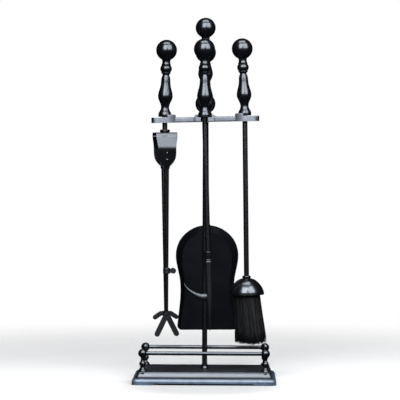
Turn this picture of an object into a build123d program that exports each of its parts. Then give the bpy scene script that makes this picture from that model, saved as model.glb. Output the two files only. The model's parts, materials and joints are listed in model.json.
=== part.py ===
from build123d import *
import math
import os

# Fireplace tool set: a stand with a railed base, a centre column and a four-armed holder, on which
# a poker, tongs, a brush and a shovel hang by the feet of their turned handles.
# Frame: +Z up, +X to the viewer's right, -Y to the front. Origin on the floor, on the column's axis.
# Millimetres and degrees.

# Base
PLINTH_LENGTH = 257.0
PLINTH_DEPTH = 147.0
PLINTH_HEIGHT = 11.5
PLINTH_CORNER = 9.0
PLINTH_ROUND = 6.2          # quarter round along the plinth's upper edge
MOULDING_TOE = 6.3          # how far the moulding's foot stands in from the plinth's edge
MOULDING_TOP = 10.7         # how far its upper edge stands in
MOULDING_GROOVE = 1.2       # height of the groove between plinth and moulding
BASE_HEIGHT = 22.3
BASE_WALL = 4.0             # from the moulding's upper edge to the hollow
BASE_PLATE = 7.0
BOSS_RADIUS = 9.0
CENTRE_BOSS_RADIUS = 16.0
FOOT_RELIEF = 3.0           # height of the gap under the plinth between its corner feet
FOOT_LENGTH = 40.0

# Gallery
POST_X = 109.5
POST_Y = 55.0
POST_BALL_Z = 55.1
POST_BALL_RADIUS = 8.0
RAIL_DIAMETER = 7.0
SCREW_DIAMETER = 4.0
SCREW_HEAD_RADIUS = 3.5

# Column
COLUMN_DIAMETER = 9.3
COLUMN_STUD_DIAMETER = 7.0
STUD_REACH = 22.0           # of the upper stud, above the ball boss

# Holder
ARM_REACH = 72.2            # column axis to the axis of a hanging tool
SEAT_Z = 477.5              # top of the forks
ARM_HEIGHT = 9.6
ARM_WIDTH = 10.0
FORK_RADIUS = 18.8
FORK_SLOT = 13.0
FORK_TIP = 24.8             # tool axis to the fork's outer end
SHOULDER_HEIGHT = 5.0
SHOULDER_RADIUS = 16.2      # tool axis to the middle of the raised shoulder
SHOULDER_WIDTH = 5.2
FRONT_SINK = 2.2            # the front and back forks' seats lie lower than the side ones
FRONT_LIFT = 1.2            # and their undersides higher
SIDE_PLAY = 1.0             # the side tools hang this far to the left in their slots
HOLDER_TILT = 1.3           # the side arms sit out of level, the right one higher
HUB_RADIUS = 9.6
HOLDER_BALL_Z = 500.8
HOLDER_BALL_RADIUS = 18.1
HOLDER_BALL_FLAT = 14.5     # below the ball's centre, where it stands on the hub
CARRY_FOOT_RISE = 1.8       # of the carrying handle's foot, above where it would touch the ball's curve

# Handles, above the underside of their foot
HANDLE_BALL_Z = 120.2
TOOL_BALL_RADIUS = 18.8
CARRY_BALL_RADIUS = 18.1
FOOT_RADIUS = 11.8
PEAR_RADIUS = 12.9
BEAD_RADIUS = 10.5
NECK_RADIUS = 7.3
TANG_LENGTH = 30.0

# Tools: rods, how they lean (foot of the tool to the right) and how their handles lean
ROD_RADIUS = 4.6
HANG_CLEARANCE = 0.4        # between a handle's foot and the fork that it rests on
TONGS_RAISE = 0.5           # a handle that leans against its fork's slope stands higher
BRUSH_RAISE = 0.25
POKER_LEAN = 1.6
POKER_HANDLE_LEAN = 0.3
TONGS_LEAN = 0.55
TONGS_HANDLE_LEAN = -1.4
BRUSH_LEAN = 0.8
BRUSH_HANDLE_LEAN = 2.5
SHOVEL_LEAN = 0.5
SHOVEL_HANDLE_LEAN = 0.5

# Poker, below the handle's foot
POKER_RING_DEPTHS = (238.8, 251.8)
POKER_TIP_DEPTH = 377.8
BARB_TIP = (-43.8, -293.3)
BARB_ROOT_DEPTH = 315.8
BARB_ROOT_HEIGHT = 9.0      # half sizes of the horn's oval section
BARB_ROOT_WIDTH = 4.6
BARB_POINT = 0.7

# Tongs, below the handle's foot
TONGS_TURN = 12.0           # the spring's plane turned about the rod
STRAP_TOP_DEPTH = 27.8
STRAP_WIDTH = 38.6
STRAP_SPREAD = 40.0
STRAP_THICKNESS = 2.6
LEG_BREAK = 6.5             # from the strap's top to the line where a leg begins to flex
LEG_GAP = 0.3
LEG_BOW = 4.0               # how far a leg bows out from the strap's edge
LEG_BOW_DEPTH = 56.0        # where it is bowed out most
LEG_LEAN = 6.0              # how it leans in below that
LEG_END_DEPTH = 89.0
LEG_END_WIDTH = 9.6
PALM_LENGTH = 36.0
PALM_THICKNESS = 4.4
PALM_WIDTH = 10.5
RIVET_RADIUS = 1.6
END_STUD_RADIUS = 3.0       # of the tongs' and brush's rods, below their shoulders
RIVET_DEPTHS = (65.4, 77.4)
ARM_TOP_RADIUS = 4.6
ARM_END_RADIUS = 3.1
ARM_END_DEPTH = 351.0
ARM_END_OFFSET = 4.1
GUIDE_DEPTH = 277.5
GUIDE_RADIUS = 6.4
EAR_REACH = 12.0
EAR_RADIUS = 5.2
TONGS_COLLAR_RADIUS = 9.0

# Brush, below the handle's foot
DOME_TOP_DEPTH = 294.0
DOME_RADIUS = 31.5
DOME_HEIGHT = 29.0
DOME_SHEET = 1.6
BRISTLE_END_DEPTH = 413.5
BRISTLE_TOP_RADIUS = 22.5
BRISTLE_END_RADIUS = 28.5
BRISTLE_SWEEP = 7.0

# Shovel, below the handle's foot
PAN_TOP_DEPTH = 198.4
PAN_LENGTH = 193.5
PAN_HALF_WIDTH = 58.0
PAN_WAIST = 51.2
PAN_LIP = 56.5
PAN_SHOULDER_DEPTH = 55.0   # from the pan's top to where it is widest
PAN_WAIST_DEPTH = 97.0
PAN_DEPTH = 20.0
PAN_LIP_DEPTH = 9.0
PAN_SLOPE = 33.0            # of the wall, from the pan's depth
PAN_SHEET = 1.6
TANG_THICKNESS = 3.8
PAN_RIVET_DEPTHS = (32.0, 48.0)
PAN_RIVET_RADIUS = 2.0

BOTTOM = (Align.CENTER, Align.CENTER, Align.MIN)
TOP = (Align.CENTER, Align.CENTER, Align.MAX)


def column_of(radius, low, high):
    """Round bar on the Z axis between two heights."""
    return Pos(0, 0, low) * Cylinder(radius, high - low, align=BOTTOM)


def turned(*edges):
    """Solid turned about Z from edges drawn as (radius, height), closed along the axis."""
    return revolve(Plane.XZ * make_face(Curve() + list(edges)), Axis.Z)


def slab(length, depth, low, high, corner):
    """Flat block with rounded corners in plan."""
    outline = RectangleRounded(length, depth, corner)
    return Pos(0, 0, low) * extrude(outline, high - low)


# ---------------------------------------------------------------- base

def moulding_level(drawn_in, height):
    """Moulding's outline at a height, drawn in from the plinth's edge."""
    length = PLINTH_LENGTH - 2 * drawn_in
    depth = PLINTH_DEPTH - 2 * drawn_in
    return Pos(0, 0, height) * RectangleRounded(length, depth, PLINTH_CORNER - 4)


def moulding():
    """Ogee edge above a groove: it swells out, then draws in to the top plate in an S curve."""
    foot = PLINTH_HEIGHT + MOULDING_GROOVE
    run = MOULDING_TOP - MOULDING_TOE
    levels = []
    for share in (0, 0.2, 0.4, 0.6, 0.8, 1):
        curve = share * share * (3 - 2 * share)
        height = foot + share * (BASE_HEIGHT - foot)
        levels.append(moulding_level(MOULDING_TOE + 1.2 + (run - 1.2) * curve, height))
    groove = extrude(moulding_level(MOULDING_TOP - 0.4, PLINTH_HEIGHT - 1), MOULDING_GROOVE + 2)
    return loft(levels, ruled=True) + groove


def base_plinth():
    """Cast base: hollow under its top plate, with corner feet and bosses for what is screwed to it."""
    plinth = slab(PLINTH_LENGTH, PLINTH_DEPTH, 0, PLINTH_HEIGHT, PLINTH_CORNER)
    rim = plinth.faces().sort_by(Axis.Z)[-1].edges()
    plinth = fillet(rim, PLINTH_ROUND)
    casting = plinth + moulding()
    top_rim = casting.faces().sort_by(Axis.Z)[-1].edges()
    casting = fillet(top_rim, 0.8)
    inner_length = PLINTH_LENGTH - 2 * (MOULDING_TOP + BASE_WALL)
    inner_depth = PLINTH_DEPTH - 2 * (MOULDING_TOP + BASE_WALL)
    casting -= slab(inner_length, inner_depth, -1, BASE_HEIGHT - BASE_PLATE, 3)
    casting += [Pos(x, y, 0) * column_of(BOSS_RADIUS, 6, BASE_HEIGHT - 1) for x, y in post_places()]
    casting += column_of(CENTRE_BOSS_RADIUS, 9, BASE_HEIGHT - 1)
    front_gap = Box(PLINTH_LENGTH - 2 * FOOT_LENGTH, PLINTH_DEPTH + 10, 2 * FOOT_RELIEF)
    side_gap = Box(PLINTH_LENGTH + 10, PLINTH_DEPTH - 2 * FOOT_LENGTH, 2 * FOOT_RELIEF)
    casting -= fillet(front_gap.edges().filter_by(Axis.Y), 2.5)
    casting -= fillet(side_gap.edges().filter_by(Axis.X), 2.5)
    for x, y in post_places():
        casting -= Pos(x, y, 0) * column_of(SCREW_DIAMETER / 2, 0, BASE_HEIGHT + 1)
    casting -= column_of(COLUMN_STUD_DIAMETER / 2, 0, BASE_HEIGHT + 1)
    return casting


def post_places():
    """The four places of the gallery posts, front ones first."""
    return [(x, y) for y in (-POST_Y, POST_Y) for x in (-POST_X, POST_X)]


def gallery_post():
    """Turned post on z = BASE_HEIGHT: a spreading foot, a bead between two necks, and a ball."""
    foot = BASE_HEIGHT
    joint = POST_BALL_Z - 7.2
    outline = turned(
        Polyline((0, foot), (7.6, foot), (7.6, foot + 1.4)),
        Spline((7.6, foot + 1.4), (5.4, foot + 4.6), (3.6, foot + 8.6), tangents=((-0.2, 1), (0, 1))),
        Line((3.6, foot + 8.6), (4.1, foot + 9.6)),
        ThreePointArc((4.1, foot + 9.6), (6.1, foot + 14), (4.1, foot + 18.4)),
        Line((4.1, foot + 18.4), (3.5, foot + 19.4)),
        Spline((3.5, foot + 19.4), (3.3, foot + 22.2), (3.5, joint), tangents=((0, 1), (0, 1))),
        Line((3.5, joint), (0, joint)),
        Line((0, joint), (0, foot)),
    )
    post = outline + Pos(0, 0, POST_BALL_Z) * Sphere(POST_BALL_RADIUS)
    return post - column_of(SCREW_DIAMETER / 2, foot - 1, foot + 14)


def gallery_rail():
    """Straight rail along X whose ends sit in the balls."""
    length = 2 * POST_X - 2
    return Pos(0, 0, POST_BALL_Z) * Rot(0, 90, 0) * Cylinder(RAIL_DIAMETER / 2, length)


def gallery_screw():
    """Pan-head screw from below, in the boss under a post."""
    head = column_of(SCREW_HEAD_RADIUS, 3.2, 6)
    head = fillet(head.faces().sort_by(Axis.Z)[0].edges(), 1.2)
    return head + column_of(SCREW_DIAMETER / 2, 5, BASE_HEIGHT + 12)


# ---------------------------------------------------------------- column and holder

def center_post():
    """Column with a thinner threaded stud at each end."""
    stud = COLUMN_STUD_DIAMETER / 2
    top = HOLDER_BALL_Z + HOLDER_BALL_RADIUS + STUD_REACH
    shaft = column_of(COLUMN_DIAMETER / 2, BASE_HEIGHT, SEAT_Z - ARM_HEIGHT)
    return shaft + column_of(stud, 1.5, BASE_HEIGHT) + column_of(stud, SEAT_Z - ARM_HEIGHT, top)


def post_collar():
    """Turned collar at the column's foot."""
    foot = BASE_HEIGHT
    ring = turned(
        Polyline((0, foot), (7.6, foot), (7.6, foot + 1.6)),
        Spline((7.6, foot + 1.6), (6.1, foot + 4), (5.6, foot + 8), tangents=((-0.6, 1), (0, 1))),
        Polyline((5.6, foot + 8), (0, foot + 8), (0, foot)),
    )
    return ring - column_of(COLUMN_DIAMETER / 2, foot - 1, foot + 9)


def post_washer():
    """Plain washer under the base's centre boss."""
    return column_of(9, 7.6, 9) - column_of(COLUMN_STUD_DIAMETER / 2, 7, 10)


def post_nut():
    """Hexagon nut below the washer."""
    nut = Pos(0, 0, 2.4) * extrude(RegularPolygon(6.4, 6, major_radius=False), 5.2)
    return nut - column_of(COLUMN_STUD_DIAMETER / 2, 0, 9)


def fork(sink, lift):
    """Arm along +X from the hub, and the open fork at its end, with a raised shoulder behind the seat.

    The seat lies below the arm's top by sink, and the fork's underside above the arm's by lift.
    """
    low = SEAT_Z - ARM_HEIGHT
    arm_end = ARM_REACH - FORK_RADIUS + 4
    section = RectangleRounded(ARM_WIDTH, ARM_HEIGHT, 2.6)
    arm = Pos(0, 0, low + ARM_HEIGHT / 2) * extrude(Plane.YZ * section, arm_end)
    plan = Circle(FORK_RADIUS) + Pos(FORK_TIP / 2, 0) * Rectangle(FORK_TIP, 2 * FORK_RADIUS)
    plan = fillet(plan.vertices().group_by(Axis.X)[-1], 5.6)
    plan -= Circle(FORK_SLOT / 2) + Pos(FORK_TIP, 0) * Rectangle(2 * FORK_TIP, FORK_SLOT)
    prongs = Pos(ARM_REACH, 0, low + lift) * extrude(plan, ARM_HEIGHT - sink - lift)
    prongs = fillet(prongs.faces().sort_by(Axis.Z)[-1].edges().sort_by(Edge.length)[-1:], 1.0)
    rib = Pos(SHOULDER_RADIUS, 0) * RectangleRounded(SHOULDER_WIDTH, 2 * SHOULDER_HEIGHT, 2.5)
    ridge = Rot(0, 0, 105) * revolve(Plane.XZ * rib, Axis.Z, 150)
    return arm + prongs + Pos(ARM_REACH, 0, SEAT_Z - sink) * ridge


def tool_holder():
    """One casting: level hub, and four arms of which the side ones sit a little out of level."""
    hub = column_of(HUB_RADIUS, SEAT_Z - ARM_HEIGHT, HOLDER_BALL_Z - HOLDER_BALL_FLAT)
    right = fork(0, 0)
    right = Pos(0, 0, SEAT_Z) * Rot(0, -HOLDER_TILT, 0) * Pos(0, 0, -SEAT_Z) * right
    left = Rot(0, 0, 180) * fork(0, 0)
    left = Pos(0, 0, SEAT_Z) * Rot(0, -HOLDER_TILT, 0) * Pos(0, 0, -SEAT_Z) * left
    front = Rot(0, 0, -90) * fork(FRONT_SINK, FRONT_LIFT)
    back = Rot(0, 0, 90) * fork(FRONT_SINK, FRONT_LIFT)
    casting = hub + right + left + front + back
    casting -= column_of(COLUMN_DIAMETER / 2, SEAT_Z - 20, SEAT_Z - ARM_HEIGHT)
    return casting - column_of(COLUMN_STUD_DIAMETER / 2, SEAT_Z - 20, HOLDER_BALL_Z)


def holder_ball():
    """Ball boss standing on the hub, bored for the column's stud."""
    low = HOLDER_BALL_Z - HOLDER_BALL_FLAT
    ball = Pos(0, 0, HOLDER_BALL_Z) * Sphere(HOLDER_BALL_RADIUS)
    ball -= Pos(0, 0, low) * Cylinder(40, 20, align=TOP)
    ball -= Pos(0, 0, carry_foot()) * Cylinder(40, 20, align=BOTTOM)
    return ball - column_of(COLUMN_STUD_DIAMETER / 2, low - 1, carry_foot() + 1)


def carry_foot():
    """Height at which the carrying handle's foot meets the ball boss."""
    return HOLDER_BALL_Z + math.sqrt(HOLDER_BALL_RADIUS ** 2 - (FOOT_RADIUS - 1) ** 2) + CARRY_FOOT_RISE


# ---------------------------------------------------------------- handles and rods

def handle(ball_radius):
    """Turned handle on z = 0: ringed foot, neck, pear grip, bead, neck and ball knob."""
    joint_radius = NECK_RADIUS + 0.9
    joint = HANDLE_BALL_Z - math.sqrt(ball_radius ** 2 - joint_radius ** 2)
    crown = HANDLE_BALL_Z + ball_radius
    grip = Spline(
        (FOOT_RADIUS, 4.4), (NECK_RADIUS + 1.1, 12.3), (NECK_RADIUS, 17.4), (PEAR_RADIUS, 34.0),
        (NECK_RADIUS + 1.6, 58.0), (6.7, 73.5), (7.6, 78.0),
        tangents=((-0.1, 1), (1, 1)),
    )
    return turned(
        Polyline((0, 0), (FOOT_RADIUS - 0.7, 0), (FOOT_RADIUS, 0.7), (FOOT_RADIUS, 2.3),
                 (FOOT_RADIUS - 0.9, 2.9), (FOOT_RADIUS, 3.5), (FOOT_RADIUS, 4.4)),
        grip,
        Polyline((7.6, 78.0), (8.6, 79.0), (8.6, 80.2), (8.0, 80.8)),
        ThreePointArc((8.0, 80.8), (BEAD_RADIUS, 86.8), (8.0, 92.8)),
        Polyline((8.0, 92.8), (8.6, 93.4), (8.6, 94.4)),
        Spline((8.6, 94.4), (NECK_RADIUS, 98.8), (joint_radius, joint), tangents=((-1, 1), (0.6, 1))),
        ThreePointArc((joint_radius, joint), (ball_radius, HANDLE_BALL_Z), (0, crown)),
        Line((0, crown), (0, 0)),
    )


def carry_handle():
    """The stand's own handle, screwed on the column's upper stud."""
    grip = Pos(0, 0, carry_foot()) * handle(CARRY_BALL_RADIUS)
    top = HOLDER_BALL_Z + HOLDER_BALL_RADIUS + STUD_REACH
    return grip - column_of(COLUMN_STUD_DIAMETER / 2, carry_foot() - 1, top)


def tool_handle(lean_from_rod):
    """Handle on its rod's tang, leaning from the rod by a small angle."""
    return Rot(0, -lean_from_rod, 0) * handle(TOOL_BALL_RADIUS) - column_of(ROD_RADIUS, -5, TANG_LENGTH)


def rod(depth):
    """Tool rod from inside its handle down to a depth below the handle's foot."""
    return column_of(ROD_RADIUS, -depth, TANG_LENGTH)


# ---------------------------------------------------------------- poker

def poker_collar():
    """Double-ringed socket between the rod and the forged head."""
    first, second = POKER_RING_DEPTHS
    socket = column_of(6.8, -second, -first)
    for depth in POKER_RING_DEPTHS:
        ring = column_of(8.2, -depth - 1.2, -depth + 1.2)
        socket += fillet(ring.edges().filter_by(GeomType.CIRCLE), 0.9)
    return socket - column_of(ROD_RADIUS, -second + 3, -first + 5)


def poker_head():
    """Spike that swells below the socket and tapers to a blunt point."""
    start = -POKER_RING_DEPTHS[1] - 1.2
    tip = -POKER_TIP_DEPTH
    return turned(
        Line((0, start), (6.6, start)),
        Spline((6.6, start), (7.7, start - 7), (5.7, start - 52), (0.9, tip + 0.6),
               tangents=((1, -0.6), (-0.12, -1))),
        Line((0.9, tip + 0.6), (0, tip)),
        Line((0, tip), (0, start)),
    )


def poker_barb():
    """Side hook: a tapering horn that leaves the spike and curves out and up to a point."""
    root = -BARB_ROOT_DEPTH
    spine = Spline((0, root), (-12, root - 2.5), (-28, root + 5), BARB_TIP, tangents=((-1, -0.5), (-0.62, 1)))
    sections = []
    for share in (0, 0.25, 0.5, 0.75, 1):
        height = BARB_ROOT_HEIGHT - (BARB_ROOT_HEIGHT - BARB_POINT) * share ** 0.8
        width = BARB_ROOT_WIDTH - (BARB_ROOT_WIDTH - BARB_POINT) * share ** 2.2
        place = spine @ share
        along = spine % share
        plane = Plane(origin=(place.X, 0, place.Y), x_dir=(0, 1, 0), z_dir=(along.X, 0, along.Y))
        sections.append(plane * Ellipse(width, height))
    return loft(sections) - poker_head()


# ---------------------------------------------------------------- tongs

def tongs_spring_top():
    """Top of the flat spring: a plate across the rod, bent down and flared at both ends."""
    half = STRAP_SPREAD / 2 + STRAP_THICKNESS / 2
    inner = STRAP_SPREAD / 2 - STRAP_THICKNESS / 2
    top = -STRAP_TOP_DEPTH
    low = top - LEG_BREAK
    flare = LEG_BREAK * LEG_BOW / (LEG_BOW_DEPTH - STRAP_TOP_DEPTH - LEG_BREAK)
    outside = FilletPolyline((-half, low), (flare - half, top), (half - flare, top), (half, low), radius=5.2)
    under = top - STRAP_THICKNESS
    inside = FilletPolyline((inner, low), (inner - flare, under), (flare - inner, under), (-inner, low),
                            radius=2.6)
    outline = outside + Line((half, low), (inner, low)) + inside + Line((-inner, low), (-half, low))
    strap = extrude(Plane.YZ * make_face(outline), STRAP_WIDTH / 2, both=True)
    return strap - column_of(END_STUD_RADIUS, top - 5, top + 1)


def leg_place():
    """Place at +Y of a leg's lower, leaning part: its middle where the leg is bowed out most."""
    return Pos(0, STRAP_SPREAD / 2 + LEG_BOW, -LEG_BOW_DEPTH) * Rot(-LEG_LEAN, 0, 0)


def leg_line(shift):
    """Leg's line seen from the side, out to its widest and in again, shifted across its thickness."""
    widest = STRAP_SPREAD / 2 + LEG_BOW
    end = widest - (LEG_END_DEPTH - LEG_BOW_DEPTH) * math.tan(math.radians(LEG_LEAN))
    top = -STRAP_TOP_DEPTH - LEG_BREAK - LEG_GAP
    return FilletPolyline((STRAP_SPREAD / 2 + shift, top), (widest + shift, -LEG_BOW_DEPTH),
                          (end + shift, -LEG_END_DEPTH), radius=30)


def tongs_leg():
    """Spring leg at +Y: wide above, drawn in to the arm's width below, bowed out on its way."""
    top = -STRAP_TOP_DEPTH - LEG_BREAK - LEG_GAP
    end = -LEG_END_DEPTH
    half = STRAP_WIDTH / 2
    tip = LEG_END_WIDTH / 2
    right = Spline((half, top), (half - 2.8, top - 20), (half - 5.6, end + 11), (tip, end),
                   tangents=((-0.1, -1), (-1, -1)))
    left = mirror(right, Plane.YZ)
    outline = Curve() + [right, Line((tip, end), (-tip, end)), left, Line((-half, top), (half, top))]
    front = extrude(Plane.XZ * make_face(outline), STRAP_SPREAD, both=True)
    outside = leg_line(STRAP_THICKNESS / 2)
    inside = leg_line(-STRAP_THICKNESS / 2)
    side = make_face(outside + Line(outside @ 1, inside @ 1) + inside + Line(inside @ 0, outside @ 0))
    leg = extrude(Plane.YZ * side, STRAP_WIDTH, both=True) & front
    return leg - rivet_shanks()


def rivet_places():
    """Places of the two rivets on a leg, at the middle of its thickness."""
    return [leg_place() * Pos(0, 0, LEG_BOW_DEPTH - depth) for depth in RIVET_DEPTHS]


def rivet_shanks():
    """Shanks of the two rivets that hold an arm to its leg."""
    bar = Rot(90, 0, 0) * Cylinder(RIVET_RADIUS, 20)
    return Part() + [place * bar for place in rivet_places()]


def tongs_rivets():
    """Two rivets with domed heads outside the leg."""
    outer = STRAP_THICKNESS / 2
    inner = -outer - PALM_THICKNESS
    shank = Pos(0, inner, 0) * Rot(-90, 0, 0) * Cylinder(RIVET_RADIUS, outer - inner, align=BOTTOM)
    below = Pos(0, outer, 0) * Box(20, 20, 20, align=(Align.CENTER, Align.MAX, Align.CENTER))
    dome = Pos(0, outer - 1.7, 0) * Sphere(3.3) - below
    return [place * (shank + dome) for place in rivet_places()]


def arm_top():
    """Point at +Y where an arm's round bar starts, at its leg's lower end."""
    clear = 0.4
    inwards = -STRAP_THICKNESS / 2 - ARM_TOP_RADIUS - clear
    return (leg_place() * Pos(0, inwards, LEG_BOW_DEPTH - LEG_END_DEPTH)).position


def tongs_arm():
    """Arm at +Y: a flat palm riveted inside the leg, and a round bar that nears the other arm."""
    top = arm_top()
    end = Vector(0, ARM_END_OFFSET, -ARM_END_DEPTH)
    run = end - top
    bar = Plane(origin=top, z_dir=run) * Cone(ARM_TOP_RADIUS, ARM_END_RADIUS, run.length, align=BOTTOM)
    palm = Box(PALM_WIDTH, PALM_THICKNESS, PALM_LENGTH, align=(Align.CENTER, Align.MAX, Align.MAX))
    palm = fillet(palm.edges().filter_by(Axis.Y), PALM_WIDTH / 2 - 0.4)
    palm = leg_place() * Pos(0, -STRAP_THICKNESS / 2, -4) * palm
    return palm + bar + Pos(*top) * Sphere(ARM_TOP_RADIUS) - rivet_shanks()


def claw_hub():
    """Blob at an arm's lower end that its prongs spring from."""
    hub = column_of(4.0, -ARM_END_DEPTH - 9, -ARM_END_DEPTH)
    return Pos(0, ARM_END_OFFSET + 0.1, 0) * fillet(hub.faces().sort_by(Axis.Z)[0].edges(), 2.5)


def prong(start, end, width, thickness):
    """Flat bar with round ends between two points of the claw's plane, given as (x, height)."""
    run = Vector(end[0] - start[0], end[1] - start[1])
    plan = SlotCenterToCenter(run.length, width)
    angle = math.degrees(math.atan2(run.Y, run.X))
    middle = ((start[0] + end[0]) / 2, (start[1] + end[1]) / 2)
    plan = Pos(middle[0], middle[1]) * Rot(0, 0, angle) * plan
    bar = extrude(Plane.XZ * plan, thickness)
    return chamfer(bar.edges().filter_by(GeomType.CIRCLE), 0.8)


def down_claw():
    """Front claw: two straight prongs that splay downwards."""
    root = (0, -ARM_END_DEPTH - 5)
    hub = Rot(0, 0, 180) * claw_hub()
    claw = hub
    for side in (-1, 1):
        bar = prong(root, (side * 17.6, -ARM_END_DEPTH - 40.5), 9.6, 4.4)
        claw += Pos(0, -ARM_END_OFFSET + 0.6, 0) * bar
    return claw


def side_claw():
    """Back claw: two short prongs that spread sideways and droop."""
    claw = claw_hub()
    for side in (-1, 1):
        inner = prong((0, -ARM_END_DEPTH - 3.5), (side * 9.5, -ARM_END_DEPTH - 4.5), 8.4, 4.4)
        outer = prong((side * 9.5, -ARM_END_DEPTH - 4.5), (side * 19.3, -ARM_END_DEPTH - 11), 8.4, 4.4)
        claw += Pos(0, ARM_END_OFFSET + 3.8, 0) * (inner + outer)
    return claw


def tongs_guide():
    """Sleeve on the front arm with a rounded ear at the side, which keeps the arms in line."""
    start = arm_top()
    share = (GUIDE_DEPTH + start.Z) / (ARM_END_DEPTH + start.Z)
    offset = start.Y + share * (ARM_END_OFFSET - start.Y)
    sleeve = Pos(0, -offset, 0) * column_of(GUIDE_RADIUS, -GUIDE_DEPTH - 5.2, -GUIDE_DEPTH + 5.2)
    ear = Pos(EAR_REACH, -offset, -GUIDE_DEPTH) * Rot(90, 0, 0) * Cylinder(EAR_RADIUS, 5.0)
    neck = Pos(EAR_REACH / 2, -offset, -GUIDE_DEPTH) * Box(EAR_REACH, 5.0, 7.4)
    return fillet(sleeve.edges().filter_by(GeomType.CIRCLE), 0.8) + ear + neck


def tongs_collar():
    """Turned collar on the rod above the spring."""
    ring = column_of(TONGS_COLLAR_RADIUS, -STRAP_TOP_DEPTH, -STRAP_TOP_DEPTH + 5.2)
    ring = fillet(ring.edges().filter_by(GeomType.CIRCLE), 1.6)
    return ring - column_of(ROD_RADIUS, -STRAP_TOP_DEPTH - 1, -STRAP_TOP_DEPTH + 6)


def tongs_rod():
    """Rod to the spring's top, with a thinner stud through it."""
    return rod(STRAP_TOP_DEPTH) + column_of(END_STUD_RADIUS, -STRAP_TOP_DEPTH - 8, -STRAP_TOP_DEPTH)


def tongs_nut():
    """Hexagon nut under the spring's top."""
    top = -STRAP_TOP_DEPTH - STRAP_THICKNESS
    nut = Pos(0, 0, top - 4.2) * extrude(RegularPolygon(5, 6, major_radius=False), 4.2)
    return nut - column_of(END_STUD_RADIUS, top - 5, top + 1)


# ---------------------------------------------------------------- brush

def brush_dome():
    """Spun dome, open below, with a rolled rim."""
    top = -DOME_TOP_DEPTH
    rim = top - DOME_HEIGHT
    shell = DOME_SHEET
    return turned(
        Line((3.0, top), (7.0, top)),
        Spline((7.0, top), (19.5, top - 5.8), (DOME_RADIUS - 1.0, rim + 7), (DOME_RADIUS, rim),
               tangents=((1, -0.12), (0.05, -1))),
        Line((DOME_RADIUS, rim), (DOME_RADIUS - shell, rim)),
        Spline((DOME_RADIUS - shell, rim), (DOME_RADIUS - 1.0 - shell, rim + 6.6), (18.6, top - 7.2),
               (7.0, top - shell), tangents=((-0.05, 1), (-1, 0.12))),
        Line((7.0, top - shell), (3.0, top - shell)),
        Line((3.0, top - shell), (3.0, top)),
    )


def brush_core():
    """Block inside the dome that the bristles are set in."""
    top = -DOME_TOP_DEPTH - 8.2
    return column_of(15.0, top - 16, top) - column_of(END_STUD_RADIUS, top - 17, top + 1)


def brush_rod():
    """Rod to the dome, with a thinner stud through the dome and the core."""
    return rod(DOME_TOP_DEPTH) + column_of(END_STUD_RADIUS, -DOME_TOP_DEPTH - 22, -DOME_TOP_DEPTH)


def brush_collar():
    """Turned collar on the rod above the dome."""
    ring = column_of(7.7, -DOME_TOP_DEPTH, -DOME_TOP_DEPTH + 4.8)
    ring = fillet(ring.edges().filter_by(GeomType.CIRCLE), 1.6)
    return ring - column_of(ROD_RADIUS, -DOME_TOP_DEPTH - 1, -DOME_TOP_DEPTH + 6)


def brush_nut():
    """Nut between the dome and the core, tightened on the stud."""
    top = -DOME_TOP_DEPTH - DOME_SHEET
    nut = Pos(0, 0, top - 4.6) * extrude(RegularPolygon(5, 6, major_radius=False), 4.6)
    return nut - column_of(END_STUD_RADIUS, top - 6, top + 1)


def brush_bristles():
    """Bundle of bristles, round in section, that widens and drifts to one side as it hangs."""
    top = -DOME_TOP_DEPTH - 24.3
    upper = Pos(0, 0, top) * Circle(BRISTLE_TOP_RADIUS)
    middle = Pos(BRISTLE_SWEEP * 0.3, 0, (top - BRISTLE_END_DEPTH) / 2) * Circle(
        (BRISTLE_TOP_RADIUS + BRISTLE_END_RADIUS) / 2)
    lower = Pos(BRISTLE_SWEEP, 0, -BRISTLE_END_DEPTH) * Circle(BRISTLE_END_RADIUS)
    return loft([upper, middle, lower])


# ---------------------------------------------------------------- shovel

def pan_outline(inset, stretch):
    """Pan's outline in (x, height), drawn in by an inset: round above, waisted, run on below the lip."""
    top = -PAN_TOP_DEPTH - inset
    shoulder = -PAN_TOP_DEPTH - PAN_SHOULDER_DEPTH
    waist = -PAN_TOP_DEPTH - PAN_WAIST_DEPTH
    end = -PAN_TOP_DEPTH - PAN_LENGTH - stretch
    wide = PAN_HALF_WIDTH - inset
    crown = top - shoulder
    turns = [math.radians(angle) for angle in (0, 30, 60)]
    side = [(PAN_LIP - inset, end), (PAN_LIP - inset, end + stretch), (PAN_WAIST - inset, waist)]
    side += [(wide * math.cos(turn), shoulder + crown * math.sin(turn)) for turn in turns]
    right = Spline(*side, (0, top), tangents=((0, 1), (-1, 0)))
    left = mirror(right, Plane.YZ)
    return make_face(Curve() + [right, left, Line((PAN_LIP - inset, end), (inset - PAN_LIP, end))])


def lip_cutter():
    """Prism of the pan's true silhouette near its lip, with rounded corners."""
    corner = 9.0
    reach = PAN_HALF_WIDTH + 10
    lip = -PAN_TOP_DEPTH - PAN_LENGTH
    plan = Pos(0, lip) * Rectangle(2 * PAN_LIP, 2 * PAN_LENGTH, align=(Align.CENTER, Align.MIN))
    plan = fillet(plan.vertices().group_by(Axis.Y)[0], corner)
    plan += Pos(0, lip + 20) * Rectangle(2 * reach, 2 * PAN_LENGTH, align=(Align.CENTER, Align.MIN))
    return extrude(Plane.XZ * plan, 60, both=True)


def pan_block(inset):
    """Solid inside the pan's walls: its outline draws in from rim to floor, and the floor cuts it."""
    stretch = 60
    rise = 2 * PAN_DEPTH
    sections = []
    for height in (0, rise):
        place = Plane(origin=(0, pan_face() + PAN_DEPTH - height, 0), x_dir=(1, 0, 0), z_dir=(0, -1, 0))
        drawn_in = inset + height * math.tan(math.radians(PAN_SLOPE))
        sections.append(place * pan_outline(drawn_in, stretch))
    block = loft(sections, ruled=True)
    beyond = Box(400, 100, 900, align=(Align.CENTER, Align.MAX, Align.CENTER))
    return block - pan_floor() * Pos(0, inset, 0) * beyond


def pan_face():
    """Y of the pan's outer face at its top, on which the tang lies."""
    return ROD_RADIUS


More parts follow.
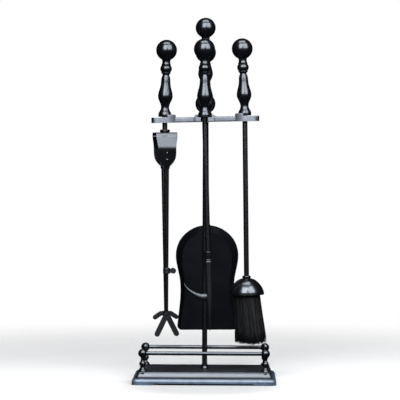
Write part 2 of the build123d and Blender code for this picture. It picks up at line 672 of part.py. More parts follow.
def pan_floor():
    """Place of the floor's outer face: it nears the rim towards the lip, where the pan is shallow."""
    fall = math.degrees(math.atan((PAN_DEPTH - PAN_LIP_DEPTH) / PAN_LENGTH))
    return Pos(0, pan_face(), -PAN_TOP_DEPTH) * Rot(fall, 0, 0)


def shovel_pan():
    """Pressed pan seen from its outer side: sloping wall, deepest at the top, and open at the lip."""
    pan = (pan_block(0) - pan_block(PAN_SHEET)) & lip_cutter()
    return pan - pan_rivet_shanks()


def pan_rivet_shanks():
    """Shanks of the rivets through the tang and the pan's floor."""
    bar = Rot(90, 0, 0) * Cylinder(PAN_RIVET_RADIUS, 24)
    return Part() + [pan_floor() * Pos(0, 0, -depth) * bar for depth in PAN_RIVET_DEPTHS]


def shovel_rod():
    """Rod whose lower end is flattened into a tang on the pan's floor."""
    bar = rod(PAN_TOP_DEPTH + 8)
    tang = Pos(0, 0, 6) * Box(14, TANG_THICKNESS, 66, align=(Align.CENTER, Align.MAX, Align.MAX))
    tang = fillet(tang.edges().filter_by(Axis.Y), 6.5)
    return bar + pan_floor() * tang - pan_rivet_shanks()


def shovel_rivets():
    """Two rivets with domed heads on the tang and flat tails inside the pan."""
    shank = Rot(90, 0, 0) * Cylinder(PAN_RIVET_RADIUS, TANG_THICKNESS + PAN_SHEET, align=BOTTOM)
    dome = Pos(0, 1.8 - TANG_THICKNESS - PAN_SHEET, 0) * Sphere(4.0) - Pos(
        0, -TANG_THICKNESS - PAN_SHEET, 0) * Box(20, 20, 20, align=(Align.CENTER, Align.MIN, Align.CENTER))
    tail = Rot(-90, 0, 0) * Cylinder(3.2, 1.0, align=BOTTOM)
    rivet = Pos(0, PAN_SHEET, 0) * (shank + dome + tail)
    return [pan_floor() * Pos(0, 0, -depth) * rivet for depth in PAN_RIVET_DEPTHS]


# ---------------------------------------------------------------- placing and writing

def hang(side, lean):
    """Place of a tool on one of the holder's forks."""
    lift = SEAT_Z + HANG_CLEARANCE
    rise = ARM_REACH * math.sin(math.radians(HOLDER_TILT))
    places = {
        "front": (0, -ARM_REACH, lift - FRONT_SINK),
        "back": (0, ARM_REACH, lift - FRONT_SINK),
        "left": (-ARM_REACH - SIDE_PLAY, 0, lift - rise + TONGS_RAISE),
        "right": (ARM_REACH - SIDE_PLAY, 0, lift + rise + BRUSH_RAISE),
    }
    return Pos(*places[side]) * Rot(0, -lean, 0)


def all_nodes():
    """Every node of the set, by name, in its place."""
    nodes = {
        "base_plinth": base_plinth(),
        "gallery_rail_front": Pos(0, -POST_Y, 0) * gallery_rail(),
        "gallery_rail_back": Pos(0, POST_Y, 0) * gallery_rail(),
        "gallery_screws": [Pos(x, y, 0) * gallery_screw() for x, y in post_places()],
        "center_post": center_post(),
        "post_collar": post_collar(),
        "post_washer": post_washer(),
        "post_nut": post_nut(),
        "tool_holder": tool_holder(),
        "holder_ball": holder_ball(),
        "carry_handle": carry_handle(),
    }
    names = ("front_left", "front_right", "back_left", "back_right")
    rails = Pos(0, -POST_Y, 0) * gallery_rail() + Pos(0, POST_Y, 0) * gallery_rail()
    for name, (x, y) in zip(names, post_places()):
        nodes["gallery_post_" + name] = Pos(x, y, 0) * gallery_post() - rails

    poker = hang("front", POKER_LEAN)
    nodes["poker_handle"] = poker * tool_handle(POKER_HANDLE_LEAN - POKER_LEAN)
    nodes["poker_rod"] = poker * rod(POKER_RING_DEPTHS[1] - 3)
    nodes["poker_collar"] = poker * poker_collar()
    nodes["poker_head"] = poker * poker_head()
    nodes["poker_barb"] = poker * poker_barb()

    tongs = hang("left", TONGS_LEAN)
    turn = Rot(0, 0, TONGS_TURN)
    front = turn * Rot(0, 0, 180)
    nodes["tongs_handle"] = tongs * tool_handle(TONGS_HANDLE_LEAN - TONGS_LEAN)
    nodes["tongs_rod"] = tongs * tongs_rod()
    nodes["tongs_collar"] = tongs * tongs_collar()
    nodes["tongs_nut"] = tongs * tongs_nut()
    nodes["tongs_spring_top"] = tongs * turn * tongs_spring_top()
    nodes["tongs_back_leg"] = tongs * turn * tongs_leg()
    nodes["tongs_back_rivets"] = [tongs * turn * rivet for rivet in tongs_rivets()]
    nodes["tongs_back_arm"] = tongs * turn * tongs_arm()
    nodes["tongs_back_claw"] = tongs * turn * (side_claw() - tongs_arm())
    nodes["tongs_front_leg"] = tongs * front * tongs_leg()
    nodes["tongs_front_rivets"] = [tongs * front * rivet for rivet in tongs_rivets()]
    nodes["tongs_front_arm"] = tongs * front * tongs_arm()
    front_arm = Rot(0, 0, 180) * tongs_arm()
    nodes["tongs_front_claw"] = tongs * turn * (down_claw() - front_arm)
    nodes["tongs_guide"] = tongs * turn * (tongs_guide() - front_arm)

    brush = hang("right", BRUSH_LEAN)
    nodes["brush_handle"] = brush * tool_handle(BRUSH_HANDLE_LEAN - BRUSH_LEAN)
    nodes["brush_rod"] = brush * brush_rod()
    nodes["brush_collar"] = brush * brush_collar()
    nodes["brush_dome"] = brush * brush_dome()
    nodes["brush_core"] = brush * brush_core()
    nodes["brush_nut"] = brush * brush_nut()
    nodes["brush_bristles"] = brush * brush_bristles()

    shovel = hang("back", SHOVEL_LEAN)
    nodes["shovel_handle"] = shovel * tool_handle(SHOVEL_HANDLE_LEAN - SHOVEL_LEAN)
    nodes["shovel_rod"] = shovel * shovel_rod()
    nodes["shovel_pan"] = shovel * shovel_pan()
    nodes["shovel_rivets"] = [shovel * rivet for rivet in shovel_rivets()]
    return nodes


os.makedirs("parts", exist_ok=True)
for node, shape in all_nodes().items():
    if isinstance(shape, list):
        shape = Compound(children=shape)
    export_step(shape, os.path.join("parts", node + ".step"))
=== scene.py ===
"""Visual model of a black fireplace tool set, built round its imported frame."""

import json
import logging
import math
import random
from dataclasses import dataclass
from enum import Enum
from typing import Any, Iterable, Optional, Union

import bpy
from mathutils import Matrix, Vector


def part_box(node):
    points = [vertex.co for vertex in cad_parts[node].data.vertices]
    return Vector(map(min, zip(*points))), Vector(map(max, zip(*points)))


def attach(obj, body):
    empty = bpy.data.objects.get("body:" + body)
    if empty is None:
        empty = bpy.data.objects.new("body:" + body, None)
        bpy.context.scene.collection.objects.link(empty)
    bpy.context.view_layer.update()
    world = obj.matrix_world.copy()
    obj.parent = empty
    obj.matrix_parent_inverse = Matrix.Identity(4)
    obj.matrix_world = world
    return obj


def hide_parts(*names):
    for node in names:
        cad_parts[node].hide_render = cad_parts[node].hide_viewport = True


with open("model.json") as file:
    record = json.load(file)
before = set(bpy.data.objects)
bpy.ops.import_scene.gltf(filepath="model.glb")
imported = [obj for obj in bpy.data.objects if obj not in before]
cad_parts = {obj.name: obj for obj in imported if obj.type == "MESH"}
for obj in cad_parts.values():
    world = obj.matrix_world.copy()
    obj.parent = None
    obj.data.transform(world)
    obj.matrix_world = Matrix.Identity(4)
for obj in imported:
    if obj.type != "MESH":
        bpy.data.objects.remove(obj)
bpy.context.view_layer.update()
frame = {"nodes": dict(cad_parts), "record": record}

logging.basicConfig(level=logging.INFO, format="%(name)s: %(message)s")
log = logging.getLogger("tool_set")

Number = Union[int, float]
Colour = tuple[float, float, float]


class Body(Enum):
    """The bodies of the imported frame."""

    STAND = "stand"
    POKER = "poker"
    TONGS = "tongs"
    TONGS_FRONT_ARM = "tongs_front_arm"
    TONGS_BACK_ARM = "tongs_back_arm"
    BRUSH = "brush"
    SHOVEL = "shovel"


class Slot(Enum):
    """The record's material slots."""

    CASTING = "casting_black"
    HOLDER = "holder_black"
    TURNED = "turned_black"
    ROD = "rod_black"
    FORGED = "forged_black"
    SPRING = "spring_black"
    PAN = "pan_black"
    DOME = "dome_black"
    FASTENER = "fastener_steel"
    CORE = "core_wood"
    BRISTLE = "bristle_black"


# ------------------------------------------------------------------ shader arithmetic


class Signal:
    """A shader socket used as a number: each operator adds one Math node to its graph."""

    def __init__(self, graph: "Graph", socket: bpy.types.NodeSocket) -> None:
        """Wraps a node's output socket."""
        self.graph = graph
        self.socket = socket

    def __add__(self, other: "Operand") -> "Signal":
        """Sum."""
        return self.graph.math("ADD", self, other)

    def __radd__(self, other: "Operand") -> "Signal":
        """Sum, number first."""
        return self.graph.math("ADD", other, self)

    def __sub__(self, other: "Operand") -> "Signal":
        """Difference."""
        return self.graph.math("SUBTRACT", self, other)

    def __rsub__(self, other: "Operand") -> "Signal":
        """Difference, number first."""
        return self.graph.math("SUBTRACT", other, self)

    def __mul__(self, other: "Operand") -> "Signal":
        """Product."""
        return self.graph.math("MULTIPLY", self, other)

    def __rmul__(self, other: "Operand") -> "Signal":
        """Product, number first."""
        return self.graph.math("MULTIPLY", other, self)

    def between(self, low: Number, high: Number) -> "Signal":
        """0 at low, 1 at high, smooth in between."""
        settings = {"interpolation_type": "SMOOTHSTEP"}
        return self.graph.add("ShaderNodeMapRange", settings, {0: self, 1: low, 2: high})


Operand = Union[Signal, Number]
Tone = Union[Signal, Colour]


class Graph:
    """One material's node tree, with a Principled shader ready to be fed."""

    def __init__(self, name: str) -> None:
        """Makes an empty node material.

        Args:
            name: the material's name.
        """
        self.material = bpy.data.materials.new(name)
        self.material.use_nodes = True
        self.tree = self.material.node_tree
        self.tree.nodes.clear()
        self.place = self.add("ShaderNodeTexCoord", output="Object")

    def add(
        self,
        kind: str,
        settings: Optional[dict[str, Any]] = None,
        inputs: Optional[dict[Union[str, int], Any]] = None,
        output: Union[str, int] = 0,
    ) -> Signal:
        """Adds any node.

        Args:
            kind: the node's type, such as ShaderNodeTexNoise.
            settings: its settings, put in place before its sockets are filled.
            inputs: values or Signals for its input sockets, by name or index.
            output: the output socket to return.

        Returns:
            The chosen output as a Signal.
        """
        node = self.tree.nodes.new(kind)
        for key, value in (settings or {}).items():
            setattr(node, key, value)
        for key, value in (inputs or {}).items():
            if isinstance(value, Signal):
                self.tree.links.new(value.socket, node.inputs[key])
            else:
                node.inputs[key].default_value = value
        return Signal(self, node.outputs[output])

    def math(self, operation: str, first: Operand, second: Operand) -> Signal:
        """Adds a Math node on two operands and returns its value."""
        return self.add("ShaderNodeMath", {"operation": operation}, {0: first, 1: second})

    def noise(self, scale: Number, detail: Number = 2.0, warp: Number = 0.0) -> Signal:
        """Noise over the object's own coordinates, with features about 1 / scale metres long."""
        inputs = {"Vector": self.place, "Scale": scale, "Detail": detail, "Distortion": warp}
        return self.add("ShaderNodeTexNoise", {}, inputs, output="Fac")

    def cells(self, scale: Number) -> Signal:
        """Distance to the nearest cell centre, which makes round pits or grains."""
        return self.add("ShaderNodeTexVoronoi", {}, {"Vector": self.place, "Scale": scale}, "Distance")

    def height_along(self, axis: str) -> Signal:
        """One coordinate of the surface, in metres, X, Y or Z."""
        return self.add("ShaderNodeSeparateXYZ", {}, {0: self.place}, output=axis)

    def length(self, place: Signal) -> Signal:
        """Length of a vector signal."""
        return self.add("ShaderNodeVectorMath", {"operation": "LENGTH"}, {0: place}, output="Value")

    def blend(self, share: Signal, first: Tone, second: Tone) -> Signal:
        """Colour that goes from first to second as share goes from 0 to 1."""
        ends = [tone if isinstance(tone, Signal) else (*tone, 1.0) for tone in (first, second)]
        settings = {"data_type": "RGBA", "clamp_factor": True}
        return self.add("ShaderNodeMix", settings, {0: share, 6: ends[0], 7: ends[1]}, output=2)

    def bump(self, height: Signal, depth: Number) -> Signal:
        """Normal bent by a height signal whose 0 to 1 is a depth in metres."""
        inputs = {"Height": height, "Distance": depth, "Strength": 1.0}
        return self.add("ShaderNodeBump", {}, inputs, output="Normal")

    def finish(self, sockets: dict[str, Any]) -> bpy.types.Material:
        """Feeds a Principled shader, wires it to the output and returns the material."""
        surface = self.add("ShaderNodeBsdfPrincipled", {}, sockets, output="BSDF")
        self.add_output(surface)
        return self.material

    def add_output(self, surface: Signal) -> None:
        """Wires a shader to the material's output."""
        node = self.tree.nodes.new("ShaderNodeOutputMaterial")
        self.tree.links.new(surface.socket, node.inputs["Surface"])


# ------------------------------------------------------------------ finishes


@dataclass(frozen=True)
class Enamel:
    """Black paint on metal, from glossy and smooth to satin over a rough casting."""

    slot: Slot
    colour: Colour = (0.0011, 0.0012, 0.0016)
    dust_and_sheen: Colour = (0.0026, 0.0028, 0.0036)
    roughness: float = 0.30
    unevenness: float = 0.05
    gloss: float = 0.5
    tint: Colour = (0.86, 0.92, 1.0)
    patch_scale: float = 22.0
    smear_scale: float = 120.0
    speck_scale: float = 2600.0
    speck_edges: tuple[float, float] = (0.68, 0.76)
    speck_roughness: float = 0.05
    sheen_breakup_scale: float = 75.0
    sheen_breakup_edges: tuple[float, float] = (0.25, 0.62)
    peel_scale: float = 1100.0
    peel_height: float = 0.0000015
    grain_scale: float = 700.0
    grain_height: float = 0.0
    pit_height: float = 0.0
    # lighter bluish tone painted low down as a painted reflection, and the heights where it fades out
    painted_sheen_low: Colour = (0.0, 0.0, 0.0)
    painted_sheen_heights: Optional[tuple[float, float]] = None
    # painted shade at the holder's hook tips, from these distances along X outwards, and the plain black
    # they are painted
    shaded_ends: Optional[tuple[float, float]] = None
    shaded_end_colour: Colour = (0.0011, 0.0012, 0.0016)
    end_roughness: float = 0.24

    def material(self) -> bpy.types.Material:
        """Makes the paint as a node material.

        Returns:
            A material with orange peel, casting grain, specks and patches of dirt (on the holder a painted
            sheen), a painted reflection low down and painted shade at the ends, as far as the finish has
            them.
        """
        graph = Graph("paint_" + self.slot.value)
        patches = graph.noise(scale=self.patch_scale, detail=4.0, warp=0.4)
        smears = graph.noise(scale=self.smear_scale, detail=3.0)
        peel = graph.noise(scale=self.peel_scale, detail=1.0)
        grain = graph.noise(scale=self.grain_scale, detail=3.0)
        pits = graph.cells(self.grain_scale * 0.45)
        specks = graph.noise(scale=self.speck_scale, detail=0.0).between(*self.speck_edges)
        # on the holder this lighter tone and its patches are a painted sheen; on the other finishes they
        # are dirt specks and patches
        dust_and_sheen_patches = patches.between(0.45, 0.75) * 0.5 + specks * 0.5
        sheen = self.roughness + (patches - 0.5) * self.unevenness + (smears - 0.5) * self.unevenness
        relief = peel * self.peel_height + grain * self.grain_height + pits * self.pit_height
        depth = self.peel_height + self.grain_height + self.pit_height
        colour = graph.blend(dust_and_sheen_patches, self.colour, self.dust_and_sheen)
        # painted reflection: below these heights the colour goes lighter and bluish, for the base's front
        # faces reflecting the softboxes, broken up by noise
        if self.painted_sheen_heights:
            sheen_breakup = graph.noise(scale=self.sheen_breakup_scale, detail=5.0).between(*self.sheen_breakup_edges)
            high = graph.height_along("Z").between(*self.painted_sheen_heights)
            colour = graph.blend((1.0 - high) * (0.45 + sheen_breakup * 0.55), colour, self.painted_sheen_low)
        # painted shade: the hook tips go back to plain black where they face away from the lights, and lose
        # the holder's painted sheen
        if self.shaded_ends:
            sideways = graph.height_along("X")
            ends = (sideways * sideways).between(*(place * place for place in self.shaded_ends))
            colour = graph.blend(ends, colour, self.shaded_end_colour)
            sheen = sheen * (1.0 - ends) + ends * self.end_roughness
        return graph.finish({
            "Base Color": colour,
            "Roughness": sheen + specks * self.speck_roughness,
            "Normal": graph.bump(relief * (1.0 / depth), depth),
            "Specular IOR Level": self.gloss,
            "Specular Tint": (*self.tint, 1.0),
        })


@dataclass(frozen=True)
class Zinc:
    """Zinc plating on the fasteners that only show from below."""

    slot: Slot = Slot.FASTENER

    def material(self) -> bpy.types.Material:
        """Returns the plating as a node material."""
        graph = Graph("plating_" + self.slot.value)
        spangle = graph.cells(600.0)
        streaks = graph.noise(scale=900.0, detail=2.0)
        return graph.finish({
            "Base Color": graph.blend(spangle, (0.55, 0.56, 0.58), (0.38, 0.39, 0.41)),
            "Metallic": 1.0,
            "Roughness": 0.34 + streaks * 0.16,
            "Normal": graph.bump(streaks, 0.00002),
        })


@dataclass(frozen=True)
class Wood:
    """Plain turned wood of the block that holds the bristles."""

    slot: Slot = Slot.CORE

    def material(self) -> bpy.types.Material:
        """Returns the wood as a node material with growth rings."""
        graph = Graph("wood_" + self.slot.value)
        settings = {"wave_type": "RINGS"}
        inputs = {"Vector": graph.place, "Scale": 90.0, "Distortion": 3.0, "Detail": 2.0}
        rings = graph.add("ShaderNodeTexWave", settings, inputs, output="Fac")
        pores = graph.noise(scale=1500.0, detail=2.0)
        return graph.finish({
            "Base Color": graph.blend(rings, (0.30, 0.19, 0.10), (0.19, 0.11, 0.06)),
            "Roughness": 0.6 + pores * 0.2,
            "Normal": graph.bump(pores, 0.0001),
        })


@dataclass(frozen=True)
class Fibre:
    """Stiff black fibre, a little greyer on some strands than on others."""

    slot: Slot = Slot.BRISTLE
    colour: Colour = (0.0012, 0.0012, 0.0014)
    grey_strand_colour: Colour = (0.009, 0.009, 0.010)

    def material(self) -> bpy.types.Material:
        """Returns the fibre as a node material that changes across strands and not along them."""
        graph = Graph("fibre_" + self.slot.value)
        across = graph.add("ShaderNodeMapping", {}, {"Vector": graph.place, "Scale": (900.0, 900.0, 25.0)})
        strands = graph.add("ShaderNodeTexNoise", {}, {"Vector": across, "Scale": 1.0}, output="Fac")
        ends = 1.0 - graph.height_along("Z").between(0.066, 0.085)
        # greyer on random strands and towards the lower ends of the fibres
        greying = strands.between(0.45, 0.75) + ends * 0.35
        return graph.finish({
            "Base Color": graph.blend(greying, self.colour, self.grey_strand_colour),
            "Roughness": 0.42 + strands * 0.2,
            "Normal": graph.bump(strands, 0.00005),
            "Specular IOR Level": 0.18,
        })


FINISHES = (
    # Painted reflection: the lighter bluish tone low on the base stands for its front faces reflecting the
    # softboxes.
    Enamel(Slot.CASTING, roughness=0.38, unevenness=0.12, gloss=0.7, colour=(0.0020, 0.0022, 0.0028),
           dust_and_sheen=(0.010, 0.0115, 0.015), grain_scale=520.0, grain_height=0.00010, pit_height=0.00003,
           painted_sheen_low=(0.037, 0.054, 0.080), painted_sheen_heights=(0.0085, 0.0135)),
    # Painted sheen: the holder's colour and lighter tone are greys far above black paint, standing for the
    # sheen its rough cast paint catches from the softboxes.
    Enamel(Slot.HOLDER, roughness=0.55, unevenness=0.14, gloss=1.0, colour=(0.045, 0.047, 0.056),
           dust_and_sheen=(0.11, 0.115, 0.135), grain_scale=480.0, grain_height=0.00018, pit_height=0.00006,
           # painted shade at the hook tips
           shaded_ends=(0.086, 0.093)),
    Enamel(Slot.TURNED, roughness=0.22, unevenness=0.03),
    Enamel(Slot.ROD, roughness=0.24, unevenness=0.04, gloss=0.7),
    Enamel(Slot.FORGED, roughness=0.36, unevenness=0.10, grain_scale=380.0, grain_height=0.00004),
    Enamel(Slot.SPRING, roughness=0.22, unevenness=0.03),
    Enamel(Slot.PAN, roughness=0.30, unevenness=0.05, gloss=0.27),
    Enamel(Slot.DOME, roughness=0.22, unevenness=0.03, gloss=0.65),
    Zinc(),
    Wood(),
    Fibre(),
)


class Paintbox:
    """Every finish made once, and given to CAD nodes and new pieces by slot."""

    def __init__(self) -> None:
        """Makes the materials and reads which slot each CAD node has."""
        self.materials = {finish.slot.value: finish.material() for finish in FINISHES}
        self.slots = {entry["node"]: entry["material_slot"] for entry in frame["record"]["subparts"]}

    def dress_node(self, node: str) -> None:
        """Puts its finish on one CAD node."""
        materials = frame["nodes"][node].data.materials
        finish = self.materials[self.slots[node]]
        for index in range(len(materials)):
            materials[index] = finish
        log.info("dressed %s in %s", node, finish.name)

    def dress_piece(self, piece: bpy.types.Object, slot: Slot, body: Body) -> None:
        """Puts a finish on a new piece and sets it to ride on its body."""
        piece.data.materials.append(self.materials[slot.value])
        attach(piece, body.value)
        log.info("made %s for %s", piece.name, body.value)


# ------------------------------------------------------------------ meshes


def mesh_object(name: str, points: list[Vector], faces: list[tuple[int, ...]]) -> bpy.types.Object:
    """Makes a smooth-shaded mesh object and links it to the scene.

    Args:
        name: the piece's name.
        points: its vertices, in metres.
        faces: vertex indices of each face.

    Returns:
        The new object.
    """
    mesh = bpy.data.meshes.new(name)
    mesh.from_pydata(points, [], faces)
    mesh.polygons.foreach_set("use_smooth", [True] * len(mesh.polygons))
    mesh.update()
    piece = bpy.data.objects.new(name, mesh)
    bpy.context.scene.collection.objects.link(piece)
    return piece


def across(direction: Vector) -> tuple[Vector, Vector]:
    """Finds two unit vectors square to a direction and to each other.

    Args:
        direction: a unit vector that isn't along Y.

    Returns:
        The sideways and the upward vector.
    """
    side = direction.cross(Vector((0.0, 1.0, 0.0))).normalized()
    return side, direction.cross(side).normalized()


class TubeMesh:
    """Collects many thin tubes in one mesh."""

    def __init__(self, sides: int) -> None:
        """Starts an empty mesh whose tubes have that many sides."""
        self.sides = sides
        self.points: list[Vector] = []
        self.faces: list[tuple[int, ...]] = []

    def add(self, path: list[Vector], radii: Iterable[float]) -> None:
        """Adds one tube along a path, closed at both ends.

        Args:
            path: points along the tube's middle.
            radii: the tube's radius at each point.
        """
        base = len(self.points)
        last = len(path) - 1
        for index, (middle, radius) in enumerate(zip(path, radii)):
            along = (path[min(index + 1, last)] - path[max(index - 1, 0)]).normalized()
            side, up = across(along)
            for corner in range(self.sides):
                turn = 2 * math.pi * corner / self.sides
                sideways, upwards = radius * math.cos(turn), radius * math.sin(turn)
                self.points.append(middle + side * sideways + up * upwards)
        for ring in range(last):
            low = base + ring * self.sides
            for corner in range(self.sides):
                after = (corner + 1) % self.sides
                high = low + self.sides
                self.faces.append((low + corner, low + after, high + after, high + corner))
        self.faces.append(tuple(base + corner for corner in reversed(range(self.sides))))
        top = base + last * self.sides
        self.faces.append(tuple(top + corner for corner in range(self.sides)))

    def object(self, name: str) -> bpy.types.Object:
        """Returns the collected tubes as one object."""
        return mesh_object(name, self.points, self.faces)


# ------------------------------------------------------------------ sub-assemblies


@dataclass
class CadAssembly:
    """A body whose pieces are all right in CAD and only need their finishes."""

    body: Body

    def build(self, paint: Paintbox) -> None:
        """Dresses every CAD node of the body."""
        for node in frame["record"]["behaviour"]["bodies"][self.body.value]:
            paint.dress_node(node)


@dataclass
class Bristles:
    """The brush's fibres: tufts that hang from the core, bow outwards and end unevenly."""

    tufts: int = 95
    fibres_in_tuft: int = 15
    rings: int = 6
    root_radius: float = 0.00042
    tip_radius: float = 0.00026
    tuft_spread: float = 0.0032
    raggedness: float = 0.008
    strays: int = 40
    tuft_lean: float = 0.0016
    root_fan: float = 0.4
    tip_fan: float = 0.5
    shortfall: float = 0.018
    stray_lean: tuple[float, float] = (0.001, 0.0025)
    stray_reach: tuple[float, float] = (0.8, 0.97)
    seed: int = 11
    mass_sides: int = 160
    mass_rings: int = 8
    mass_depth: float = 0.93
    groove_shares: tuple[float, float] = (0.86, 0.93)
    bundle_length: float = 0.09

    def __post_init__(self) -> None:
        """Finds the bundle's top and end from the CAD bundle and the dome."""
        low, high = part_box("brush_bristles")
        dome_low, dome_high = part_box("brush_dome")
        end_radius = (high.y - low.y) / 2
        self.top = Vector(((dome_low.x + dome_high.x) / 2, (low.y + high.y) / 2, high.z + 0.001))
        self.end = Vector((high.x - end_radius, self.top.y, low.z))
        self.end_radius = end_radius - 0.001
        self.top_radius = self.end_radius * 0.78

    def build(self, paint: Paintbox) -> None:
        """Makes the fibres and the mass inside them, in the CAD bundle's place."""
        fibres = self.fibres()
        mass = self.packed_mass()
        for piece in (fibres, mass):
            paint.dress_piece(piece, Slot.BRISTLE, Body.BRUSH)
        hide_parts("brush_bristles")

    def across_bundle(self, share: float, turn: float, depth: float) -> Vector:
        """Point in the bundle.

        Args:
            share: place from the middle, 0, to the outside, 1.
            turn: angle round the bundle.
            depth: 0 at the core, 1 at the ends.

        Returns:
            The point in the row frame.
        """
        bow = math.sin(math.pi * min(depth, 1.0)) * 0.05
        radius = self.top_radius + (self.end_radius - self.top_radius) * (depth ** 0.8 + bow)
        middle = self.top.lerp(self.end, depth)
        return middle + Vector((math.cos(turn), math.sin(turn), 0.0)) * (radius * share)

    def fibres(self) -> bpy.types.Object:
        """Returns all the fibres as one mesh."""
        chance = random.Random(self.seed)
        tubes = TubeMesh(sides=4)
        for index in range(self.tufts):
            share = math.sqrt((index + 0.5) / self.tufts)
            turn = index * math.pi * (3 - math.sqrt(5))
            lean = chance.gauss(0.0, self.tuft_lean)
            reach = 1.0 - self.raggedness / self.bundle_length * chance.random() * 1.2
            for _ in range(self.fibres_in_tuft):
                self.add_fibre(tubes, chance, share, turn, lean, reach)
        for _ in range(self.strays):
            turn = chance.uniform(-1.1, 1.1) + (0.0 if chance.random() < 0.75 else math.pi)
            lean, reach = chance.uniform(*self.stray_lean), chance.uniform(*self.stray_reach)
            self.add_fibre(tubes, chance, 1.0, turn, lean, reach)
        return tubes.object("brush_fibres")

    def add_fibre(
        self, tubes: TubeMesh, chance: random.Random, share: float, turn: float, lean: float, reach: float
    ) -> None:
        """Adds one fibre that starts in its tuft and fans out from it.

        Args:
            tubes: the mesh it is added to.
            chance: the source of its random numbers.
            share: its tuft's place from the middle, 0, to the outside, 1.
            turn: its tuft's angle round the bundle.
            lean: how far its end leans outwards, in metres.
            reach: how far down it reaches, 1 for the bundle's whole length.
        """
        start = self.scatter(chance, self.root_fan)
        spread = self.scatter(chance, self.tip_fan)
        length = min(1.0, reach - abs(chance.gauss(0.0, self.shortfall)))
        outward = Vector((math.cos(turn), math.sin(turn), 0.0)) * lean
        path = []
        for ring in range(self.rings + 1):
            depth = ring / self.rings * length
            point = self.across_bundle(share, turn, depth)
            path.append(point + start * (1 - depth) + (spread + outward) * depth * depth * 1.6)
        radii = [
            self.root_radius + (self.tip_radius - self.root_radius) * ring / self.rings
            for ring in range(self.rings + 1)
        ]
        tubes.add([self.kept_inside(point) for point in path], radii)

    def scatter(self, chance: random.Random, fan: float) -> Vector:
        """A level step in a random direction, for a share of the tuft's spread."""
        return Vector((chance.gauss(0, fan), chance.gauss(0, fan), 0.0)) * self.tuft_spread

    def kept_inside(self, point: Vector) -> Vector:
        """The point, drawn back to the bundle's outside where it strays too far from its axis."""
        depth = (self.top.z - point.z) / (self.top.z - self.end.z)
        middle = self.top.lerp(self.end, depth)
        offset = point - middle
        offset.z = 0.0
        limit = self.top_radius + (self.end_radius - self.top_radius) * depth + 0.0016
        if offset.length > limit:
            offset *= limit / offset.length
        return Vector((middle.x + offset.x, middle.y + offset.y, point.z))

    def packed_mass(self) -> bpy.types.Object:
        """Returns the dark inside of the bundle, grooved like fibres pressed together."""
        chance = random.Random(self.seed + 1)
        around, rings = self.mass_sides, self.mass_rings
        groove = [chance.uniform(*self.groove_shares) for _ in range(around)]
        points, faces = [], []
        for ring in range(rings + 1):
            depth = ring / rings * self.mass_depth
            for corner in range(around):
                turn = 2 * math.pi * corner / around
                points.append(self.across_bundle(groove[corner], turn, depth))
        for ring in range(rings):
            low = ring * around
            for corner in range(around):
                after = (corner + 1) % around
                faces.append((low + corner, low + around + corner, low + around + after, low + after))
        faces.append(tuple(range(around)))
        faces.append(tuple(rings * around + corner for corner in reversed(range(around))))
        return mesh_object("brush_fibre_mass", points, faces)


@dataclass
class Brush:
    """The brush: painted metal from CAD, and real fibres in place of the CAD bundle."""

    bristles: Bristles

    def build(self, paint: Paintbox) -> None:
        """Dresses the metal and makes the fibres."""
        CadAssembly(Body.BRUSH).build(paint)
        self.bristles.build(paint)


# ------------------------------------------------------------------ studio


@dataclass(frozen=True)
class Softbox:
    """A rectangular area light aimed at the set; angles are seen from the set, 0 towards the camera."""

    name: str
    azimuth: float
    elevation: float
    distance: float
    width: float
    height: float
    radiance: float
    colour: Colour = (0.93, 0.96, 1.0)

    def build(self, target: Vector) -> None:
        """Adds the light, facing the target and hidden from the camera.

        Args:
            target: the point it is aimed at.
        """
        azimuth, elevation = math.radians(self.azimuth), math.radians(self.elevation)
        away = Vector((
            math.sin(azimuth) * math.cos(elevation),
            -math.cos(azimuth) * math.cos(elevation),
            math.sin(elevation),
        ))
        data = bpy.data.lights.new(self.name, "AREA")
        data.shape = "RECTANGLE"
        data.size, data.size_y = self.width, self.height
        data.color = self.colour
        data.energy = self.radiance * math.pi * self.width * self.height
        light = bpy.data.objects.new(self.name, data)
        light.location = target + away * self.distance
        light.rotation_euler = (-away).to_track_quat("-Z", "Y").to_euler()
        light.visible_camera = False
        bpy.context.scene.collection.objects.link(light)
        log.info("lit by %s", self.name)


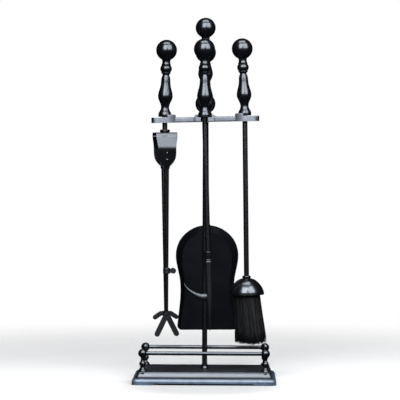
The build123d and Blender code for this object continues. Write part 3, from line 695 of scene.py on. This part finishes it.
@dataclass(frozen=True)
class Studio:
    """Pale floor, soft light and the camera."""

    camera_place: tuple[float, float, float] = (0.0657, -3.6, 0.4438)
    camera_yaw: float = 1.192
    camera_pitch: float = 1.855
    camera_roll: float = 0.180
    lens: float = 179.6
    floor_radius: float = 1.4
    floor_colour: Colour = (0.43, 0.42, 0.41)
    # painted shadow colour, then where its patch sits, how it is stretched and how far it reaches
    floor_shade: Colour = (0.275, 0.27, 0.262)
    floor_fade: tuple[float, float] = (0.45, 1.2)
    shade_shift: tuple[float, float, float] = (0.0, 0.1, 0.0)
    shade_stretch: tuple[float, float, float] = (0.85, 1.0, 1.0)
    shade_reach: tuple[float, float] = (0.06, 0.19)
    room_colour: Colour = (0.9, 0.93, 1.0)
    room_strength: float = 0.012
    aim: tuple[float, float, float] = (0.0, 0.0, 0.58)
    softboxes: tuple[Softbox, ...] = (
        Softbox("softbox_left", -14.5, 31.0, 1.9, 1.25, 1.75, 15.0),
        Softbox("softbox_right", 38.0, 31.0, 1.9, 1.55, 1.75, 12.5),
        Softbox("softbox_top", 5.0, 84.0, 1.4, 1.2, 0.55, 11.0),
    )

    def build(self) -> None:
        """Makes the floor, the surroundings, the lights and the camera."""
        self.floor()
        self.surroundings()
        for softbox in self.softboxes:
            softbox.build(Vector(self.aim))
        self.camera()
        bpy.context.scene.view_settings.view_transform = "Standard"
        bpy.context.scene.view_settings.look = "None"

    def floor(self) -> None:
        """Makes the pale floor, a disc that fades out into the white beyond it, with a painted shadow round
        the base.
        """
        steps = 96
        rim = [2 * math.pi * step / steps for step in range(steps)]
        points = [Vector((math.cos(turn), math.sin(turn), 0.0)) * self.floor_radius for turn in rim]
        floor = mesh_object("floor", points, [tuple(range(steps))])
        graph = Graph("pale_floor")
        fade = 1.0 - graph.length(graph.place).between(*self.floor_fade)
        # painted shadow: a soft grey patch on the floor round the base, centred a little in front of it
        inputs = {"Vector": graph.place, "Location": self.shade_shift, "Scale": self.shade_stretch}
        stretched = graph.add("ShaderNodeMapping", {}, inputs)
        painted_shadow_under_base = 1.0 - graph.length(stretched).between(*self.shade_reach)
        floor.data.materials.append(graph.finish({
            "Base Color": graph.blend(painted_shadow_under_base, self.floor_colour, self.floor_shade),
            "Roughness": 0.9,
            "Specular IOR Level": 0.0,
            "Alpha": fade,
        }))
        floor.visible_glossy = False

    def surroundings(self) -> None:
        """Makes the white backdrop that the camera sees, and a dimmer room that the paint reflects."""
        world = bpy.data.worlds.new("studio")
        world.use_nodes = True
        bpy.context.scene.world = world
        tree = world.node_tree
        tree.nodes.clear()
        path = tree.nodes.new("ShaderNodeLightPath")
        seen = tree.nodes.new("ShaderNodeBackground")
        seen.inputs["Color"].default_value = (1.0, 1.0, 1.0, 1.0)
        room = tree.nodes.new("ShaderNodeBackground")
        room.inputs["Color"].default_value = (*self.room_colour, 1.0)
        room.inputs["Strength"].default_value = self.room_strength
        mix = tree.nodes.new("ShaderNodeMixShader")
        output = tree.nodes.new("ShaderNodeOutputWorld")
        tree.links.new(path.outputs["Is Camera Ray"], mix.inputs[0])
        tree.links.new(room.outputs[0], mix.inputs[1])
        tree.links.new(seen.outputs[0], mix.inputs[2])
        tree.links.new(mix.outputs[0], output.inputs["Surface"])

    def camera(self) -> None:
        """Makes the camera, a long lens at about half the set's height."""
        data = bpy.data.cameras.new("camera")
        data.lens = self.lens
        data.sensor_width = 36.0
        data.dof.use_dof = False
        yaw, pitch, roll = (math.radians(a) for a in (self.camera_yaw, self.camera_pitch, self.camera_roll))
        level = math.cos(pitch)
        ahead = Vector((-math.sin(yaw) * level, math.cos(yaw) * level, -math.sin(pitch)))
        side = ahead.cross(Vector((0.0, 0.0, 1.0))).normalized()
        up = side.cross(ahead)
        rolled_side = side * math.cos(roll) + up * math.sin(roll)
        rolled_up = up * math.cos(roll) - side * math.sin(roll)
        turn = Matrix((rolled_side, rolled_up, -ahead)).transposed()
        camera = bpy.data.objects.new("camera", data)
        camera.matrix_world = Matrix.Translation(self.camera_place) @ turn.to_4x4()
        bpy.context.scene.collection.objects.link(camera)
        bpy.context.scene.camera = camera


def main() -> None:
    """Builds the set and its studio."""
    paint = Paintbox()
    Studio().build()
    for body in Body:
        if body is not Body.BRUSH:
            CadAssembly(body).build(paint)
    Brush(Bristles()).build(paint)


if __name__ == "__main__":
    main()
